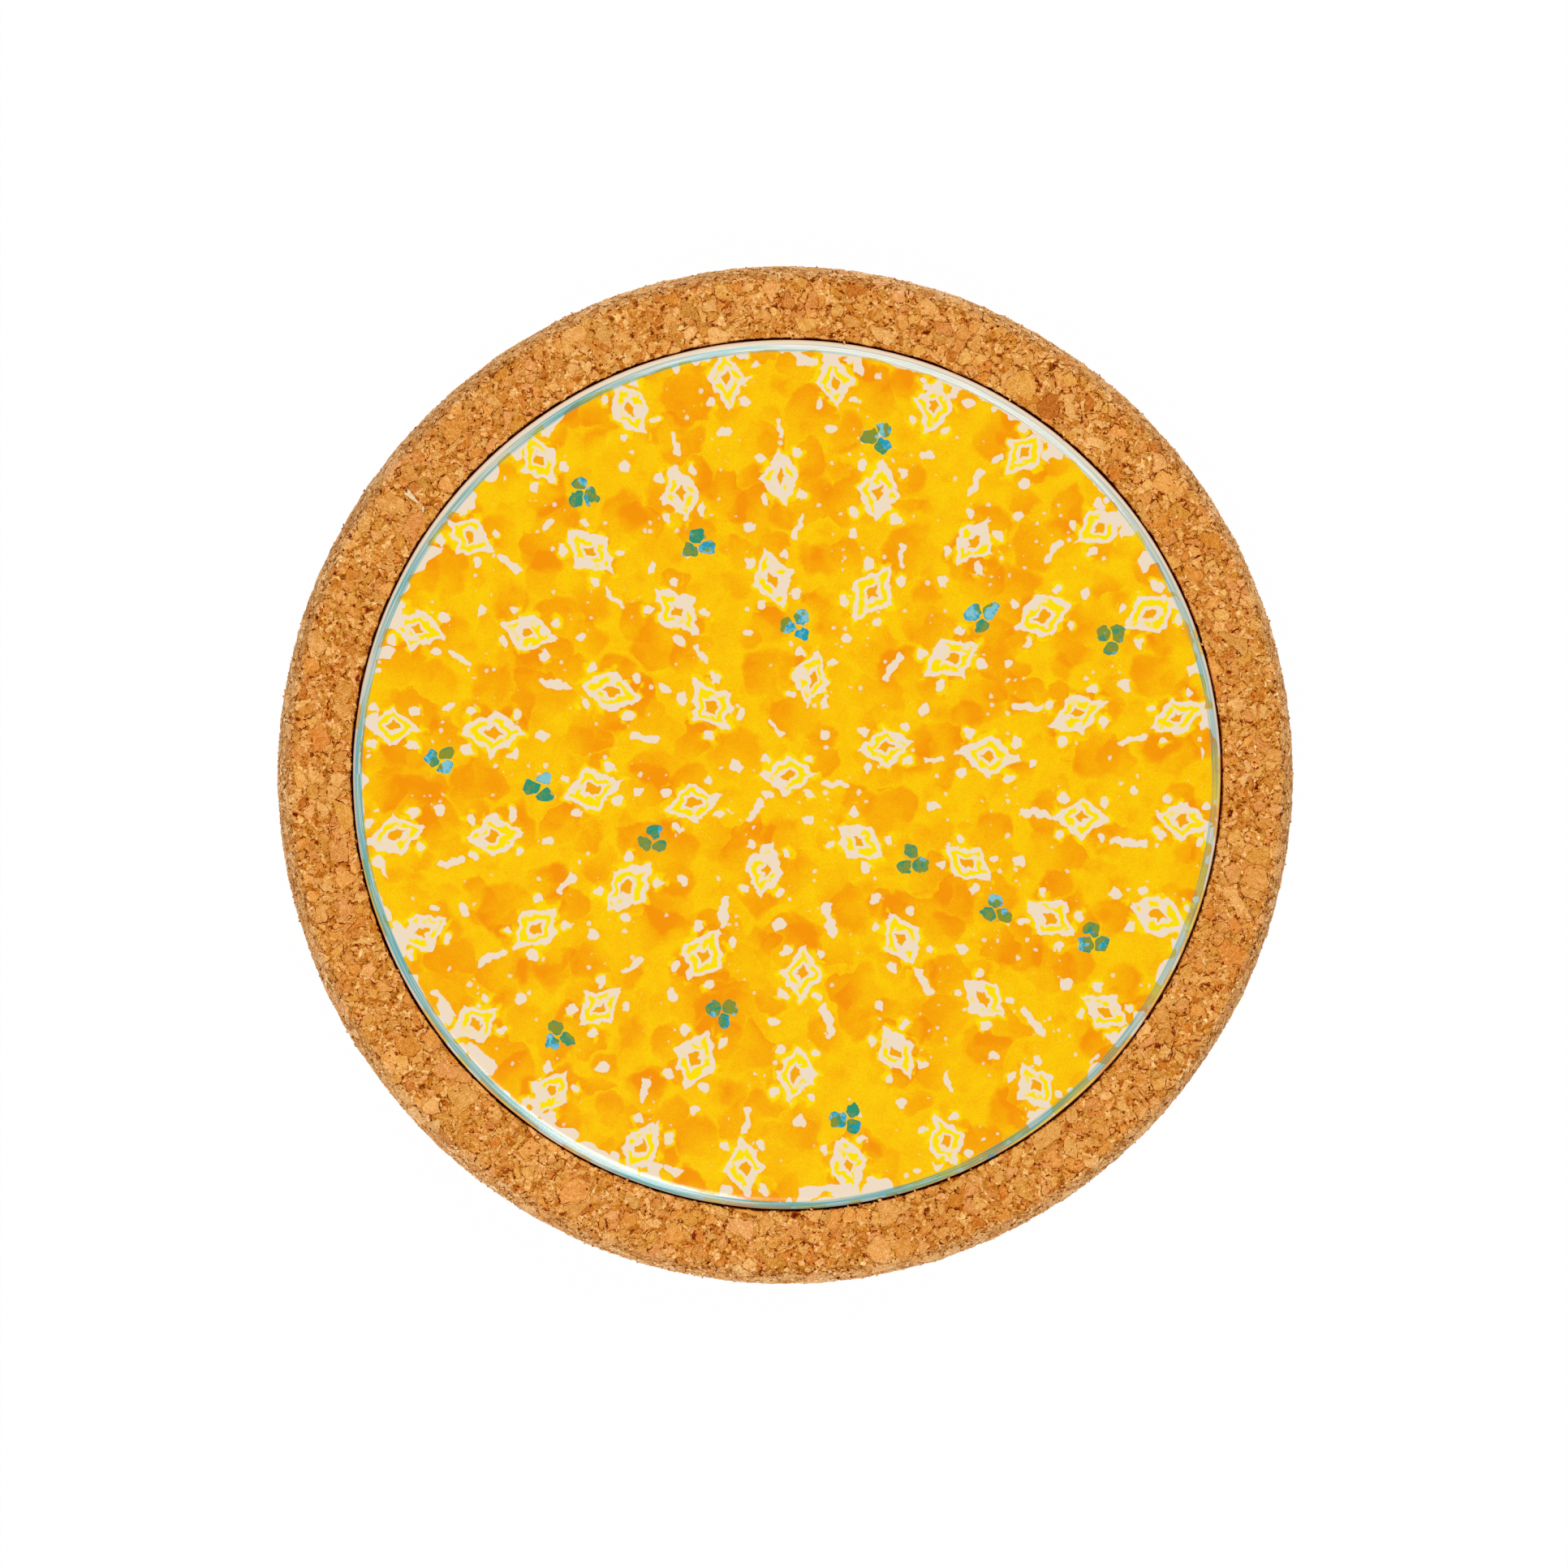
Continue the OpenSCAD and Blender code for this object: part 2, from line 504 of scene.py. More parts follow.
# How many mm each part stands out, or lies deep where below zero
RELIEF_MM = {"rise": 0.18, "seam": -0.06, "crevice": -0.14, "pit": -0.30}
# What the mesh keeps at each point, by its zone: how much of the relief it takes, where the side is
# coloured in its own way, and where the recess gets painted shade
ZONE_SHARES = {
    "relief_share": {"under": 0.5, "side": 1.5, "top": 0.9, "mouth": 1.3, "recess": 0.3},
    "side_share": {"side": 1.0},
    "recess_shade_share": {"mouth": 1.0, "recess": 1.0},
}
# Relief that only the mesh has, as (size, detail, shift, reach)
MESH_RELIEF = ((0.8, 2.0, 12.0, 0.30), (9.0, 1.0, 5.0, 0.22))

# The grains' tones by random share, their middle, the side's grey that partly paints sheen, and the darkest
CORK_TONES = tuple((position, shown(*colour)) for position, *colour in (
    (0.00, 208, 126, 58), (0.08, 229, 142, 64), (0.20, 226, 158, 80),
    (0.36, 233, 163, 77), (0.50, 231, 151, 86), (0.62, 231, 162, 88),
    (0.74, 230, 147, 63), (0.86, 240, 172, 98), (1.00, 220, 156, 80),
))
CORK_MID = shown(230, 157, 76)
CORK_GREY_SHEEN = shown(226, 170, 114)
CORK_DEEP = shown(58, 14, 2)
CRUMB_DEEP = shown(60, 24, 8)
SHOWN_GAMMA = 2.2
# Noises in the cork's colour, as (size, detail, roughness, shift)
CORK_NOISES = {
    "speckle": (0.30, 2.0, 0.7, 3.0),
    "dust": (0.14, 1.0, 0.5, 23.0),
    "cloud": (2.2, 2.0, 0.5, 43.0),
}
# Streaks within a grain, which run along one axis of it, and the size of the facets that it breaks into
STREAK_STRETCH = (1.0, 0.14, 0.3)
STREAK_SIZE = 0.26
FACET_SIZE = 0.52
# How far apart specks and pale flecks, partly painted glints, may lie, and the share that are dark specks
GRIT_PITCH = 0.80
SPECK_SHARE = 0.55
# The dashes that the cutter tore run this much longer round the side than up it
DASH_SIZE = 0.85
DASH_STRETCH = 3.4
# How much each part makes the cork paler, or darker where below zero
LEVEL_BASE = -0.026
LEVEL_SHARES = {
    "streaks": 0.24,
    "speckle": 0.30,
    "dust": 0.46,
    "cloud": 0.07,
    "facet": 0.17,
    # flecks are pale crumbs and partly painted glints where crumbs catch the light
    "flecks_and_glints": 0.17,
    "specks": -0.27,
    "dashes": -0.20,
    # Crevice and pit darkening is painted shade, on top of their dips in the mesh and the bump
    "crevice": -0.31,
    "pit": -0.32,
    # sunk is painted shade, darkening the recess and the gap's mouth as they deepen
    "sunk": -0.26,
}
# How many mm of bump each part gives the surface
BUMP_MM = {"relief": 1.0, "streaks": 0.05, "speckle": 0.10, "facet": 0.08, "flecks_and_glints": 0.05, "specks": -0.06}
# How far red, green and blue follow the cork's level where it is above the middle and below it
LEVEL_PALER = (0.70, 1.16, 1.27)
LEVEL_DARKER = (1.00, 1.15, 1.40)
# The depths in mm over which painted shade darkens the recess, and the side greys with partly painted sheen
RECESS_SHADE_DEPTH = (0.3, 2.2)
GREY_SHEEN_DEPTH = (0.3, 3.5)


def weighed(parts, shares):
    """The sum of the parts that have a share, each times its share."""
    total = 0.0
    for name, share in shares.items():
        total = parts[name] * share + total
    return total


def cork_fields(graph, place, on_mesh):
    """What the cork is at a point: its grain's random shares, how near a crevice is, and the relief in mm.

    The relief of the mesh and the colour both come from here, so that they agree.
    """
    bent = graph.bend(place, CORK_BENDS)
    edge = graph.cell_edge(bent, CORK_CRUMB)
    _, grain, _ = graph.cells(bent, CORK_CRUMB)
    border = FAR_OFF
    whole = 0.0
    for size, held, inset, spread in reversed(CORK_GRAINS):
        shifted = bent + size * 1.7
        _, own, _ = graph.cells(shifted, size)
        share, inset_share, _ = own
        inside = graph.cell_edge(shifted, size) - (inset_share * spread + inset)
        signed = graph.blend(share > 1 - held, -FAR_OFF, inside)
        within = signed > 0.0
        border = graph.blend(within, (signed * -1.0).at_most(border), signed)
        edge = graph.blend(within, (signed * -1.0).at_most(edge), signed)
        grain = graph.blend(within, grain, graph.random(own * 97.0))
        whole = within.at_least(whole)
    tone, lift, pit_share = grain

    # Crevices open here and there along the borders, long ones round grains and short ones among crumbs
    crevice = 0.0
    for reach, (size, closed, shift) in zip((border, edge), CREVICES):
        opening = graph.noise(place, size, 2.0, 0.6, shift=shift)
        half_width = (opening - closed).at_least(0.0) * CREVICE_SHARE
        if on_mesh:
            half_width = half_width + MESH_WIDER
        gap = graph.fall(reach, half_width * 0.4, half_width + 0.06)
        crevice = (gap * graph.smooth(opening, closed, closed + 0.06)).at_least(crevice)
    seam = graph.fall(edge, 0.0, MESH_SEAM_W if on_mesh else SEAM_W)
    pit = graph.smooth(pit_share, *PIT_FROM) * graph.smooth(edge, 0.02, 0.25) * (1.0 - whole)
    fields = dict(tone=tone, lift=lift, rise=lift - 0.5, whole=whole, bent=bent)
    fields.update(seam=seam, crevice=crevice, pit=pit)
    return dict(fields, relief=weighed(fields, RELIEF_MM))


def cork_relief_tree():
    """Moves each point along its normal by the cork's relief, times the point's own share of it."""
    tree = bpy.data.node_groups.new("cork_relief", "GeometryNodeTree")
    for in_out in ("INPUT", "OUTPUT"):
        tree.interface.new_socket("Geometry", in_out=in_out, socket_type="NodeSocketGeometry")
    graph = Graph(tree)
    kept = "GeometryNodeInputNamedAttribute"
    place = graph.wire(kept, {"Name": "rest_mm"}, vector=True, data_type="FLOAT_VECTOR")
    share = graph.wire(kept, {"Name": "relief_share"}, data_type="FLOAT")
    relief = cork_fields(graph, place, on_mesh=True)["relief"]
    for size, detail, shift, reach in MESH_RELIEF:
        relief = relief + (graph.noise(place, size, detail, shift=shift) - 0.5) * reach
    move = graph.wire("GeometryNodeInputNormal", vector=True) * (relief * share * MM)
    moved = graph.wire("GeometryNodeSetPosition", {"Geometry": graph.wire("NodeGroupInput"), "Offset": move})
    graph.node("NodeGroupOutput", {0: moved})
    return tree


def cork_material():
    material, graph, shader = new_material("cork")
    place = rest_place(graph)
    x, y, height = place
    depth = CORK_H * PER_MM - height
    on_side = kept_value(graph, "side_share")
    parts = cork_fields(graph, place, on_mesh=False)
    # Painted shade in the mouth and recess, darker as they go deeper
    parts["sunk"] = kept_value(graph, "recess_shade_share") * graph.smooth(depth, *RECESS_SHADE_DEPTH)

    # Between the grains lies a mix of crumbs, with its own dark specks and pale flecks, partly painted glints
    crumbly = 1.0 - parts["whole"] * 0.7
    for name, (size, detail, roughness, shift) in CORK_NOISES.items():
        parts[name] = graph.noise(place, size, detail, roughness, shift=shift) - 0.5
    turned = graph.spin(parts["bent"], parts["lift"] * 12.0, (0.4, 0.5, 0.77))
    parts["streaks"] = graph.noise(turned * STREAK_STRETCH, STREAK_SIZE, 2.0) - 0.5
    _, (facet, _, _), _ = graph.cells(parts["bent"] + 5.0, FACET_SIZE)
    parts["facet"] = (facet - 0.5) * (crumbly * 0.8 + 0.2)

    reach, (keep, size, kind), _ = graph.cells(graph.bend(place, GRIT_BENDS), GRIT_PITCH)
    gritty = graph.patches(place, 3.0, 0.40, 0.62, shift=71.0) * crumbly
    grit = graph.fall(reach, size * 0.16 + 0.03, size * 0.18 + 0.16) * (keep < gritty * 0.7 + 0.06)
    parts["specks"] = grit * (kind < SPECK_SHARE)
    parts["flecks_and_glints"] = grit * (kind > SPECK_SHARE)

    # The cutter tore the side's grain into short dark dashes that run round it
    along = graph.math("ARCTAN2", y, x) * (CORK_R * PER_MM)
    torn = graph.join(along, height * DASH_STRETCH, along * 0.2)
    torn = graph.noise(torn, DASH_SIZE, 2.0, 0.6, shift=37.0)
    parts["dashes"] = graph.smooth(torn, 0.58, 0.70) * on_side

    # The side greys and pales lower down: partly its own tone and partly painted sheen
    low_down = graph.smooth(depth, *GREY_SHEEN_DEPTH)
    broken = graph.patches(place, 0.7, 0.36, 0.60, shift=91.0)
    level = weighed(parts, LEVEL_SHARES) + parts["rise"] * (crumbly * 0.15 + 0.06) + LEVEL_BASE
    level = level - parts["seam"] * (broken * 0.07 + 0.02) + on_side * (low_down * 0.022 + 0.004)
    # Darker places are redder and paler ones more grey, since red is nearly full already
    shift = level.at_least(0.0) * LEVEL_PALER + level.at_most(0.0) * LEVEL_DARKER
    greyed = graph.patches(place, 1.6, 0.36, 0.62, detail=2.0, shift=63.0) * 0.55 + 0.30
    colour = graph.blend(crumbly * 0.20, graph.ramp(parts["tone"], CORK_TONES), CORK_MID)
    # Greys the side, partly as painted sheen
    colour = graph.blend(on_side * greyed * (low_down * 0.75 + 0.60), colour, CORK_GREY_SHEEN)
    colour = (colour + shift * (on_side * 0.22 + 1.0)).at_least(CORK_DEEP)
    graph.feed(shader, {
        "Base Color": graph.gamma(colour, SHOWN_GAMMA),
        "Roughness": graph.noise(place, 0.6, 1.0, shift=7.0) * 0.2 + 0.72,
        "Specular IOR Level": 0.12,
    })
    add_bump(graph, shader, weighed(parts, BUMP_MM), 0.6)
    return material


def make_cork():
    """The base: a turned surface whose relief and colour follow the same grains."""
    spacing = {"under": PLAIN, "side": FINE, "top": FINE, "mouth": FINE, "recess": HIDDEN}
    mesh, face_zones, zones = turned_mesh("cork_body", cork_profile(), spacing)
    keep_rest(mesh)
    wander(mesh, *SIDE_WAVES, inwards=True)
    wander(mesh, *MOUTH_WAVES)
    for name, shares in ZONE_SHARES.items():
        kept = np.array([shares.get(zone, 0.0) for zone in zones], np.float32)
        mesh.attributes.new(name, "FLOAT", "POINT").data.foreach_set("value", kept)
    body = new_object("cork_body", mesh)
    body.data.materials.append(cork_material())
    body.modifiers.new("relief", "NODES").node_group = cork_relief_tree()
    evaluated = body.evaluated_get(bpy.context.evaluated_depsgraph_get())
    shaped = bpy.data.meshes.new_from_object(evaluated)
    body.modifiers.clear()
    body.data = shaped
    keep_inside(shaped)
    shaped.shade_smooth()
    return body, make_crumbs(body, face_zones)


# Loose crumbs that the cutter left: how many are tried, their least and most size, the zone that they lie in
# and how high they lie there at least, in metres
CRUMBS = (
    (1800, 0.00018, 0.00045, "top", 0.0),
    (3200, 0.00018, 0.00055, "side", 0.001),
    (700, 0.00030, 0.00062, "side", 0.001),
    (900, 0.00018, 0.00036, "mouth", CORK_H - 0.0009),
)
CRUMB_SEED = 7
# Crumbs caught across the gap: how many, their sizes, and the radius and height of their middles
CAUGHT_COUNT = 18
CAUGHT_SIZES = (0.00045, 0.00080)
CAUGHT_R = RECESS_R - 0.00012
CAUGHT_Z = CORK_H + 0.00008
# A pale sliver on the base, in mm: where its forked end and its tip lie, its outline along and across, and
# the heights of its underside and its top over the base's
SLIVER_FROM = (-74.56, 55.15)
SLIVER_TO = (-71.73, 52.48)
SLIVER_OUTLINE = ((-0.15, 0.58), (0.60, 0.10), (0.10, -0.60), (1.7, -0.45), (3.9, 0.02), (1.8, 0.42))
SLIVER_SPAN = (-0.15, 0.28)
SLIVER_FACES = ((5, 0, 1), (1, 2, 3), (1, 3, 5), (3, 4, 5))
# The turn that lays its streaks along it
SLIVER_TURN = math.radians(48)
SLIVER_TONES = ((0.38, srgb(216, 178, 126)), (0.60, srgb(246, 226, 184)))
# A pale crumb that lies past its tip: its place in mm, and its size in metres
SLIVER_CRUMB = (-71.15, 51.60, 18.12)
SLIVER_CRUMB_SIZE = (0.0009, 0.0012, 0.0009)
# A crumb is an icosahedron whose corners are pushed out and in and which is stretched, within these limits
GOLDEN = (1 + math.sqrt(5)) / 2
PAIRS = [(a, b) for b in (GOLDEN, -GOLDEN) for a in (-1, 1)]
CRUMB_CORNERS = np.array(
    [(a, b, 0) for a, b in PAIRS] + [(0, a, b) for a, b in PAIRS] + [(b, 0, a) for a, b in PAIRS]
) / (2 * math.hypot(1, GOLDEN))
CRUMB_FACES = np.array([
    (0, 11, 5), (0, 5, 1), (0, 1, 7), (0, 7, 10), (0, 10, 11), (1, 5, 9), (5, 11, 4), (11, 10, 2),
    (10, 7, 6), (7, 1, 8), (3, 9, 4), (3, 4, 2), (3, 2, 6), (3, 6, 8), (3, 8, 9), (4, 9, 5),
    (2, 4, 11), (6, 2, 10), (8, 6, 7), (9, 8, 1),
])
CRUMB_PUSH = (0.65, 1.25)
CRUMB_STRETCH = (0.6, 1.3)
# How far a crumb's middle stands out of the skin, as shares of its size
CRUMB_RISE = (-0.05, 0.25)
# The least room between a crumb and the tile
CRUMB_ROOM = TILE_GAP * 0.15
# How often the crumbs' tone changes along a line
CRUMB_TONES_PER_MM = 1.7


def crumb_shape(rng):
    """An angular grain about 1 across."""
    corners = CRUMB_CORNERS * rng.uniform(*CRUMB_PUSH, (len(CRUMB_CORNERS), 1))
    return corners * rng.uniform(*CRUMB_STRETCH, (1, 3))


def random_turn(rng):
    """A rotation matrix drawn evenly from all of them."""
    q = rng.normal(size=4)
    w, x, y, z = q / np.linalg.norm(q)
    return np.array([
        (1 - 2 * (y * y + z * z), 2 * (x * y - z * w), 2 * (x * z + y * w)),
        (2 * (x * y + z * w), 1 - 2 * (x * x + z * z), 2 * (y * z - x * w)),
        (2 * (x * z - y * w), 2 * (y * z + x * w), 1 - 2 * (x * x + y * y)),
    ])


def skin_crumbs(rng, mesh, zones):
    """Grains half sunk into the cork's skin, each on a face of it."""
    faces = mesh.polygons
    centres, normals, areas = read(faces, "center"), read(faces, "normal"), read(faces, "area", 1)
    grains = []
    for count, least, most, zone, low in CRUMBS:
        here = np.flatnonzero((zones == zone) & (centres[:, 2] >= low) & (centres[:, 2] <= CORK_H))
        for face in rng.choice(here, count, replace=False, p=areas[here] / areas[here].sum()):
            size = least + (most - least) * rng.random() ** 2
            grain = crumb_shape(rng) @ random_turn(rng).T * size
            grain += centres[face] + normals[face] * size * rng.uniform(*CRUMB_RISE)
            if has_room(grain):
                grains.append(grain)
    return grains


def caught_crumbs(rng):
    """Grains that bridge the gap round the tile."""
    grains = []
    while len(grains) < CAUGHT_COUNT:
        size = rng.uniform(*CAUGHT_SIZES)
        turn = rng.uniform(0, 2 * math.pi)
        middle = (CAUGHT_R * math.cos(turn), CAUGHT_R * math.sin(turn), CAUGHT_Z)
        grain = crumb_shape(rng) @ random_turn(rng).T * size + middle
        if has_room(grain):
            grains.append(grain)
    return grains


def make_crumbs(body, face_zones):
    """All loose grains and the sliver as one piece, none of it outside the body's box."""
    rng = np.random.default_rng(CRUMB_SEED)
    grains = skin_crumbs(rng, body.data, np.array(face_zones)) + caught_crumbs(rng)
    grains.append(crumb_shape(rng) * SLIVER_CRUMB_SIZE + np.array(SLIVER_CRUMB) * MM)
    faces = [CRUMB_FACES + len(CRUMB_CORNERS) * k for k in range(len(grains))]
    sliver_points, sliver_faces = sliver()
    faces.append(sliver_faces + len(CRUMB_CORNERS) * len(grains))
    mesh = bpy.data.meshes.new("cork_crumbs")
    mesh.from_pydata(np.concatenate(grains + [sliver_points]).tolist(), [], np.concatenate(faces).tolist())
    keep_rest(mesh)
    mesh.materials.append(crumb_material())
    mesh.materials.append(sliver_material())
    pale = len(CRUMB_FACES) + len(sliver_faces)
    plain = len(mesh.polygons) - pale
    mesh.polygons.foreach_set("material_index", [0] * plain + [1] * pale)
    return new_object("cork_crumbs", mesh)


def has_room(points):
    """Whether points stay inside the base's box and clear of the tile."""
    reach, height = np.hypot(points[:, 0], points[:, 1]), points[:, 2]
    held = (points >= np.array(cad_low)).all() and (points <= np.array(cad_high)).all()
    past = np.hypot(reach - (TILE_R - TILE_EDGE_R), np.maximum(height - TILE_EDGE_Z, 0)) - TILE_EDGE_R
    return held and past.min() > CRUMB_ROOM


def sliver():
    """A thin forked blade that lies on the cork, as points and triangles."""
    start, end = Vector(SLIVER_FROM), Vector(SLIVER_TO)
    along = (end - start).normalized()
    across = Vector((-along.y, along.x))
    places = [start + along * a + across * b for a, b in SLIVER_OUTLINE]
    low, high = (CORK_H + z * MM for z in SLIVER_SPAN)
    points = [(p.x * MM, p.y * MM, z) for z in (low, high) for p in places]
    count = len(places)
    faces = []
    for a, b, c in SLIVER_FACES:
        faces += [(a, c, b), (a + count, b + count, c + count)]
    for a in range(count):
        b = (a + 1) % count
        faces += [(a, b, b + count), (a, b + count, a + count)]
    return np.array(points), np.array(faces)


def sliver_material():
    """Pale wood, streaked along its length."""
    material, graph, shader = new_material("cork_sliver")
    turned = graph.spin(rest_place(graph), SLIVER_TURN)
    colour = graph.ramp(graph.noise(turned * (0.3, 2.0, 1.0), 0.3, 2.0), SLIVER_TONES)
    graph.feed(shader, {"Base Color": colour, "Roughness": 0.6, "Specular IOR Level": 0.3})
    return material


def crumb_material():
    """Cork again, but each grain has its own tone, and many are paler or darker than the board."""
    material, graph, shader = new_material("cork_crumb")
    place = rest_place(graph)
    tone, lift, _ = graph.random(math.floor(place * CRUMB_TONES_PER_MM))
    speckle = graph.noise(place, 0.20, 2.0, 0.7) - 0.5
    level = (lift - 0.5) * 0.20 + speckle * 0.5 - (lift < 0.3) * 0.20 - 0.02
    colour = graph.gamma((graph.ramp(tone, CORK_TONES) + level).at_least(CRUMB_DEEP), SHOWN_GAMMA)
    graph.feed(shader, {"Base Color": colour, "Roughness": 0.8, "Specular IOR Level": 0.2})
    return material


def keep_inside(mesh):
    """Holds the relief within the base's own box, whose sides touch its widest circle."""
    co = read_points(mesh)
    np.clip(co[:, :2], cad_low[:2], cad_high[:2], out=co[:, :2])
    co[:, 2] = np.maximum(co[:, 2], cad_low[2])
    mesh.vertices.foreach_set("co", co.ravel())


# Glazed tile

CREAM = srgb(241, 221, 195)
ORANGE = srgb(249, 168, 4)
LEMON = srgb(254, 224, 0)
CYAN = srgb(24, 156, 190)
SKY = srgb(132, 198, 208)
TEAL = srgb(48, 146, 112)
OLIVE = srgb(140, 146, 44)
BAND_BLUE = srgb(98, 172, 176)
BAND_TINT = (0.19, 0.60, 0.82)
BISCUIT = srgb(226, 204, 178)
KILN_SPECK = srgb(96, 66, 44)
GROUND_TONES = (
    (0.0, srgb(254, 207, 3)),
    (0.20, srgb(253, 192, 1)),
    (0.50, srgb(250, 172, 0)),
    (0.90, srgb(247, 149, 0)),
)

# A place times this loses its height
FLAT = (1.0, 1.0, 0.0)
# Noises that bend what is drawn, as (size, detail, roughness, reach, shift), and how soft its edges are
DRAWN_BENDS = ((6.0, 1.0, 0.5, 1.9, 0.0), (1.9, 1.5, 0.45, 2.3, 9.0), (0.8, 1.0, 0.5, 0.35, 29.0))
SOFT = 0.07
# The pattern, in millimetres: lozenges on rings about the centre, and beads on the rings between. A lozenge's
# frame line and its eye lie at these shares of its size.
RING_PITCH = 19.4
LOZENGE = (6.0, 4.2)
LOZENGE_SCATTER = 1.3
SIDE_DOT = (LOZENGE[0] * 0.72, LOZENGE[1] * 0.86, 0.0)
SIDE_DOT_R = 0.95
FRAME_SHARE = 0.60
FRAME_W = 0.50
EYE_SHARE = 0.27
# The lemon paint that runs out beyond the cream here and there, by this far
HALO_W = 1.1
BEAD_SCATTER = 1.0
BEAD_R = 0.86
BERRY_OUT = 1.85
BERRY_R = 1.50
GROUND_BENDS = ((5.5, 2.0, 0.5, 6.0, 61.0),)
# The sponge's dabs, as the cells' size, the least radius and its spread, the rim's softness, weight and shift
GROUND_DABS = (
    (9.8, 4.0, 2.0, 0.70, 0.56, 3.0),
    (8.2, 2.7, 2.1, 0.50, 0.52, 50.0),
    (5.2, 1.0, 1.2, 0.40, 0.22, 90.0),
)
GROUND_BASE = 0.12
PINHOLE_BENDS = ((1.0, 2.0, 0.5, 0.9, 33.0),)
PINHOLE_PITCH = 1.7
KILN_SPECK_PITCH = 11.0
# The brushed band near the edge: its middle, half its width and its waves, as (mm, times round, degrees)
BAND_R = 83.51
BAND_HALF = 0.78
BAND_WAVES = ((0.34, 1, 263), (0.11, 2, 38), (0.11, 3, 36), (0.11, 4, 89))
# How much paint the brush held round the ring, as waves about 1, and how much of it the bristles part
LOAD_WAVES = ((0.40, 1, 222), (0.12, 4, 18))
BRISTLE_SHARE = 0.74
# Where the ground ends under the band, its waves, and how far it wanders besides
GROUND_END = 83.30
GROUND_WAVES = ((0.64, 1, 313), (0.63, 2, 156), (0.15, 3, 94))
GROUND_WANDER = 2.2
# Between the ground's lobes, bare glaze runs in from the rim by up to this much
GROUND_BAY = 3.0
# Where bare glaze starts at the latest, and where the patches of ground gather that show there
BARE_FROM = 84.05
PATCH_WAVES = ((0.16, 1, 285),)
# Depth below the face over which the glaze thins, and its colour there
THIN_DEPTH = (0.72, 1.50)
THIN_GLAZE = srgb(236, 146, 84)
GLAZE_IOR = 1.6


def around(graph, radius, angle, ring, count, phase, seed):
    """A point in the frame of the nearest of count places on a ring, that place's number and its shares."""
    turn = 2 * math.pi
    share = (angle / turn - phase) * count
    slot = round(share)
    local = (share - slot) / count * turn
    along = radius * graph.math("COSINE", local) - ring
    across = radius * graph.math("SINE", local)
    whole = slot % count
    own = graph.random(graph.join(whole, count, seed))
    return graph.join(along, across), whole, own


def lozenge(folded, share=1.0):
    """Distance to the side of a lozenge, from a point folded into its first quarter."""
    out, across = LOZENGE[0] * share, LOZENGE[1] * share
    x, y, _ = folded
    return (x * across + y * out - out * across) / math.hypot(out, across)


def lozenges(graph, radius, angle):
    """Lozenges with a dot off each side: the distances to the whole, to the frame line and to the eye."""
    ring = round(radius / RING_PITCH)
    count = (ring * 6.0).at_least(1.0)
    point, _, own = around(graph, radius, angle, ring * RING_PITCH, count, ring * 0.381, 3.0)
    lean, size, _ = own
    point = point - (own - 0.5) * LOZENGE_SCATTER * FLAT
    folded = abs(graph.spin(point, (lean - 0.5) * 0.5) / (size * 0.16 + 0.90))
    side_dots = graph.length(folded - SIDE_DOT) - SIDE_DOT_R
    frame_line = abs(lozenge(folded, FRAME_SHARE)) - FRAME_W
    return lozenge(folded).at_most(side_dots), frame_line, lozenge(folded, EYE_SHARE)


def beads(graph, radius, angle):
    """Dots and short bars by turns on the rings between, with three painted berries for every sixth."""
    ring = math.floor(radius / RING_PITCH) + 0.5
    point, slot, own = around(graph, radius, angle, ring * RING_PITCH, ring * 12.0, ring * 0.27, 11.0)
    size, lean, _ = own
    point = graph.spin(point - (own - 0.5) * BEAD_SCATTER * FLAT, (lean - 0.5) * 0.7)
    x, y, _ = point
    is_bar = slot % 2.0
    past = (abs(x) - is_bar * (size + 1.7)).at_least(0.0)
    stroke = graph.length(graph.join(past, y)) - (size * 0.35 + BEAD_R - is_bar * 0.35)

    berried = ((slot + ring * 2.0) % 6.0 < 0.5) * (ring > 1.0)
    third = 2 * math.pi / 3
    sector = round(graph.math("ARCTAN2", y, x) / third)
    berry = graph.length(graph.spin(point, sector * -third) - (BERRY_OUT, 0.0, 0.0)) - BERRY_R
    stroke = graph.blend(berried, stroke, FAR_OFF)
    berry = graph.blend(berried, FAR_OFF, berry)
    return stroke, berry, graph.random(own * 31.0 + graph.join(sector, 0.0))


def berry_paint(graph, flat, berry, own):
    """Thin grainy blue over patches of bare glaze and of yellow, which it turns olive; denser at its rim."""
    tone, thick, _ = own
    grain = graph.noise(flat, 0.24, 2.0, 0.8, shift=51.0) - 0.5
    load = graph.noise(flat, 1.5, 2.0, 0.5, shift=35.0) + grain * 0.9 + (thick - 0.5) * 0.3
    load = load + graph.smooth(berry, -0.45, -0.05) * 0.12
    over_bare = graph.blend(graph.smooth(load, 0.34, 0.62), SKY, CYAN)
    over_ground = graph.blend(graph.smooth(load, 0.40, 0.66), OLIVE, TEAL)
    bare = graph.noise(flat, 2.4, 1.0, shift=81.0) + (tone - 0.5) * 0.3
    return graph.blend(graph.smooth(bare, 0.53, 0.60), over_ground, over_bare)


